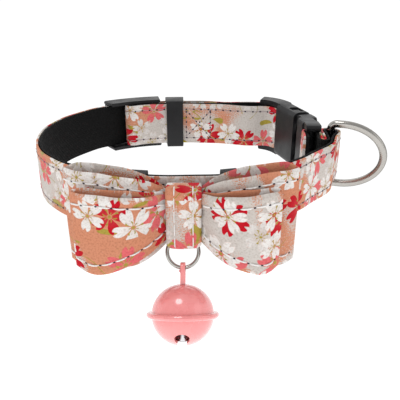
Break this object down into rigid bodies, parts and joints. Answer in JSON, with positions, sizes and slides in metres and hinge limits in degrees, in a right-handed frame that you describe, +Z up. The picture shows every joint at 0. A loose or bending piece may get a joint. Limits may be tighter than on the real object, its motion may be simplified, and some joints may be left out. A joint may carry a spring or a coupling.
{
  "type": "pet bow tie collar",
  "caption": "Adjustable pet collar in cherry blossom print cloth with a side release buckle, a double bow tie, a D-ring and a pink bell.",
  "frame": {"origin": "middle of the neck opening, half way up the strap", "axes": "+Z up against gravity, +X to the wearer's left where the D-ring is, -Y towards the bow; the collar's own axis leans 30 degrees forward of +Z"},
  "size_m": [0.1431, 0.1206, 0.1099],
  "materials": {
    "floral_cloth": "cotton with a cherry blossom print",
    "black_webbing": "woven nylon",
    "black_plastic": "satin moulded",
    "nickel": "polished nickel plate",
    "pink_paint": "glossy baked paint",
    "steel": "plain"
  },
  "bodies": {
    "collar": {"strap_cover": "floral_cloth", "strap_webbing": "black_webbing", "slider": "black_plastic", "keeper": "black_plastic", "buckle_socket": "black_plastic", "buckle_prongs": "black_plastic", "bow_back_tier": "floral_cloth", "bow_front_tier": "floral_cloth", "knot_band": "floral_cloth", "bow_elastic_left": "black_webbing", "bow_elastic_right": "black_webbing"},
    "d_ring": {"d_ring": "nickel"},
    "knot_ring": {"knot_ring": "nickel"},
    "bell": {"bell": "pink_paint", "bell_pellet": "steel"}
  },
  "joints": [
    {"name": "d_ring_swing", "type": "hinge", "parent": "collar", "child": "d_ring", "pos_m": [0.0625, 0.00011, 0.00006], "axis": [0, -0.5, 0.866], "range_deg": [-65, 95]},
    {"name": "knot_ring_swing", "type": "hinge", "parent": "collar", "child": "knot_ring", "pos_m": [0.0025, -0.04814, -0.04211], "axis": [1, 0, 0], "range_deg": [-6, 15]},
    {"name": "bell_swing", "type": "hinge", "parent": "knot_ring", "child": "bell", "pos_m": [0.0025, -0.04814, -0.04721], "axis": [1, 0, 0], "range_deg": [-45, 35]}
  ]
}
